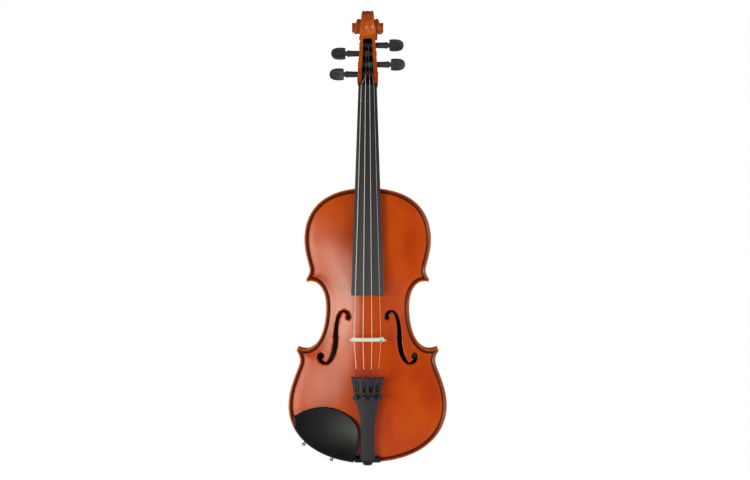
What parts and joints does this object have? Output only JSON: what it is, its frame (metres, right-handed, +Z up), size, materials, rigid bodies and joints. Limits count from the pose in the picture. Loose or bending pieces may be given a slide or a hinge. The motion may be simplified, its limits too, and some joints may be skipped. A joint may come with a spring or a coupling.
{
  "type": "violin",
  "caption": "Full-size violin with arched body, scroll, bridge, fine-tuner tailpiece and chin rest, built from separate working pieces.",
  "frame": {"origin": "under the ears of the scroll, where a wall hanger's yoke carries the violin", "axes": "+Z up the instrument from tail to scroll, -Y out of the belly towards the player's bow, +X to the treble side"},
  "size_m": [0.2056, 0.1034, 0.5965],
  "materials": {
    "varnished_spruce": "orange spirit varnish, gloss",
    "spruce": "bare spruce",
    "varnished_maple": "orange spirit varnish, gloss",
    "purfling": "inlay under varnish",
    "ebony": "satin",
    "bridge_maple": "unvarnished maple",
    "peg_composite": "matte",
    "tail_composite": "satin",
    "tuner_steel": "satin",
    "ball_brass": "plain",
    "string_steel": "flat wound",
    "silk": "silk winding",
    "sleeve_plastic": "matte",
    "gut_nylon": "matte",
    "chin_plastic": "gloss",
    "cork": "cork",
    "clamp_chrome": "polished"
  },
  "bodies": {
    "violin": {"back": "varnished_maple", "back_linings": "spruce", "back_purfling": "purfling", "bass_bar": "spruce", "belly": "varnished_spruce", "belly_linings": "spruce", "belly_purfling": "purfling", "bridge": "bridge_maple", "chin_rest": "chin_plastic", "chin_rest_cork": "cork", "chin_rest_hooks": "clamp_chrome", "corner_blocks": "spruce", "end_block": "spruce", "end_button": "peg_composite", "fingerboard": "ebony", "lower_ribs": "varnished_maple", "middle_ribs": "varnished_maple", "neck": "varnished_maple", "neck_block": "spruce", "nut": "ebony", "saddle": "ebony", "sound_post": "spruce", "string_a": "string_steel", "string_d": "string_steel", "string_e": "string_steel", "string_g": "string_steel", "string_sleeve_e": "sleeve_plastic", "tailgut": "gut_nylon", "tailpiece": "tail_composite", "tuner_pins": "tuner_steel", "upper_ribs": "varnished_maple"},
    "peg_g": {"peg_g": "peg_composite", "winding_g": "silk"},
    "tuner_screw_g": {"tuner_screw_g": "tuner_steel"},
    "tuner_knob_g": {"tuner_knob_g": "tail_composite"},
    "tuner_lever_g": {"tuner_lever_g": "tail_composite", "ball_end_g": "ball_brass"},
    "peg_d": {"peg_d": "peg_composite", "winding_d": "silk"},
    "tuner_screw_d": {"tuner_screw_d": "tuner_steel"},
    "tuner_knob_d": {"tuner_knob_d": "tail_composite"},
    "tuner_lever_d": {"tuner_lever_d": "tail_composite", "ball_end_d": "ball_brass"},
    "peg_a": {"peg_a": "peg_composite", "winding_a": "silk"},
    "tuner_screw_a": {"tuner_screw_a": "tuner_steel"},
    "tuner_knob_a": {"tuner_knob_a": "tail_composite"},
    "tuner_lever_a": {"tuner_lever_a": "tail_composite", "ball_end_a": "ball_brass"},
    "peg_e": {"peg_e": "peg_composite", "winding_e": "silk"},
    "tuner_screw_e": {"tuner_screw_e": "tuner_steel"},
    "tuner_knob_e": {"tuner_knob_e": "tail_composite"},
    "tuner_lever_e": {"tuner_lever_e": "tail_composite", "ball_end_e": "ball_brass"},
    "clamp_barrel_inner": {"clamp_barrel_inner": "clamp_chrome"},
    "clamp_barrel_outer": {"clamp_barrel_outer": "clamp_chrome"},
    "clamp_foot": {"clamp_foot": "clamp_chrome", "clamp_cork": "cork"}
  },
  "joints": [
    {"name": "peg_g_turn", "type": "hinge", "parent": "violin", "child": "peg_g", "pos_m": [0, -0.01517, -0.05595], "axis": [1, 0, 0], "continuous": true},
    {"name": "peg_d_turn", "type": "hinge", "parent": "violin", "child": "peg_d", "pos_m": [0, -0.00734, -0.02812], "axis": [1, 0, 0], "continuous": true},
    {"name": "peg_a_turn", "type": "hinge", "parent": "violin", "child": "peg_a", "pos_m": [0, -0.00419, -0.01689], "axis": [-1, 0, 0], "continuous": true},
    {"name": "peg_e_turn", "type": "hinge", "parent": "violin", "child": "peg_e", "pos_m": [0, -0.01149, -0.04286], "axis": [-1, 0, 0], "continuous": true},
    {"name": "tuner_g_travel", "type": "slide", "parent": "violin", "child": "tuner_screw_g", "axis": [0.3803, 0.91, 0.1652], "range_m": [0, 0.003]},
    {"name": "tuner_g_turn", "type": "hinge", "parent": "tuner_screw_g", "child": "tuner_knob_g", "pos_m": [-0.01293, -0.06078, -0.47361], "axis": [0.3803, 0.91, 0.1652], "range_deg": [0, 2160]},
    {"name": "tuner_g_lever", "type": "hinge", "parent": "violin", "child": "tuner_lever_g", "pos_m": [-0.01042, -0.05695, -0.46052], "axis": [0.9249, -0.3741, -0.0679], "range_deg": [0, 13.81]},
    {"name": "tuner_d_travel", "type": "slide", "parent": "violin", "child": "tuner_screw_d", "axis": [0.1297, 0.9756, 0.1771], "range_m": [0, 0.003]},
    {"name": "tuner_d_turn", "type": "hinge", "parent": "tuner_screw_d", "child": "tuner_knob_d", "pos_m": [-0.00441, -0.06301, -0.47402], "axis": [0.1297, 0.9756, 0.1771], "range_deg": [0, 2160]},
    {"name": "tuner_d_lever", "type": "hinge", "parent": "violin", "child": "tuner_lever_d", "pos_m": [-0.00355, -0.05875, -0.46085], "axis": [0.9916, -0.1276, -0.0232], "range_deg": [0, 13.81]},
    {"name": "tuner_a_travel", "type": "slide", "parent": "violin", "child": "tuner_screw_a", "axis": [-0.1297, 0.9756, 0.1771], "range_m": [0, 0.003]},
    {"name": "tuner_a_turn", "type": "hinge", "parent": "tuner_screw_a", "child": "tuner_knob_a", "pos_m": [0.00441, -0.06301, -0.47402], "axis": [-0.1297, 0.9756, 0.1771], "range_deg": [0, 2160]},
    {"name": "tuner_a_lever", "type": "hinge", "parent": "violin", "child": "tuner_lever_a", "pos_m": [0.00355, -0.05875, -0.46085], "axis": [0.9916, 0.1276, 0.0232], "range_deg": [0, 13.81]},
    {"name": "tuner_e_travel", "type": "slide", "parent": "violin", "child": "tuner_screw_e", "axis": [-0.3803, 0.91, 0.1652], "range_m": [0, 0.003]},
    {"name": "tuner_e_turn", "type": "hinge", "parent": "tuner_screw_e", "child": "tuner_knob_e", "pos_m": [0.01293, -0.06078, -0.47361], "axis": [-0.3803, 0.91, 0.1652], "range_deg": [0, 2160]},
    {"name": "tuner_e_lever", "type": "hinge", "parent": "violin", "child": "tuner_lever_e", "pos_m": [0.01042, -0.05695, -0.46052], "axis": [0.9249, 0.3741, 0.0679], "range_deg": [0, 13.81]},
    {"name": "clamp_inner_turn", "type": "hinge", "parent": "violin", "child": "clamp_barrel_inner", "pos_m": [-0.04706, -0.01704, -0.55773], "axis": [0, 1, 0], "range_deg": [0, 720]},
    {"name": "clamp_outer_turn", "type": "hinge", "parent": "violin", "child": "clamp_barrel_outer", "pos_m": [-0.08301, -0.01704, -0.53804], "axis": [0, 1, 0], "range_deg": [0, 720]},
    {"name": "clamp_release", "type": "slide", "parent": "violin", "child": "clamp_foot", "axis": [0, 1, 0], "range_m": [0, 0.0028]}
  ],
  "couplings": [
    {"joint": "tuner_g_travel", "follows": "tuner_g_turn", "m_per_rad": 0.000079577},
    {"joint": "tuner_g_lever", "follows": "tuner_g_turn", "ratio": 0.0063958},
    {"joint": "tuner_d_travel", "follows": "tuner_d_turn", "m_per_rad": 0.000079577},
    {"joint": "tuner_d_lever", "follows": "tuner_d_turn", "ratio": 0.0063958},
    {"joint": "tuner_a_travel", "follows": "tuner_a_turn", "m_per_rad": 0.000079577},
    {"joint": "tuner_a_lever", "follows": "tuner_a_turn", "ratio": 0.0063958},
    {"joint": "tuner_e_travel", "follows": "tuner_e_turn", "m_per_rad": 0.000079577},
    {"joint": "tuner_e_lever", "follows": "tuner_e_turn", "ratio": 0.0063958},
    {"joint": "clamp_inner_turn", "follows": "clamp_release", "rad_per_m": 4488},
    {"joint": "clamp_outer_turn", "follows": "clamp_release", "rad_per_m": 4488}
  ]
}
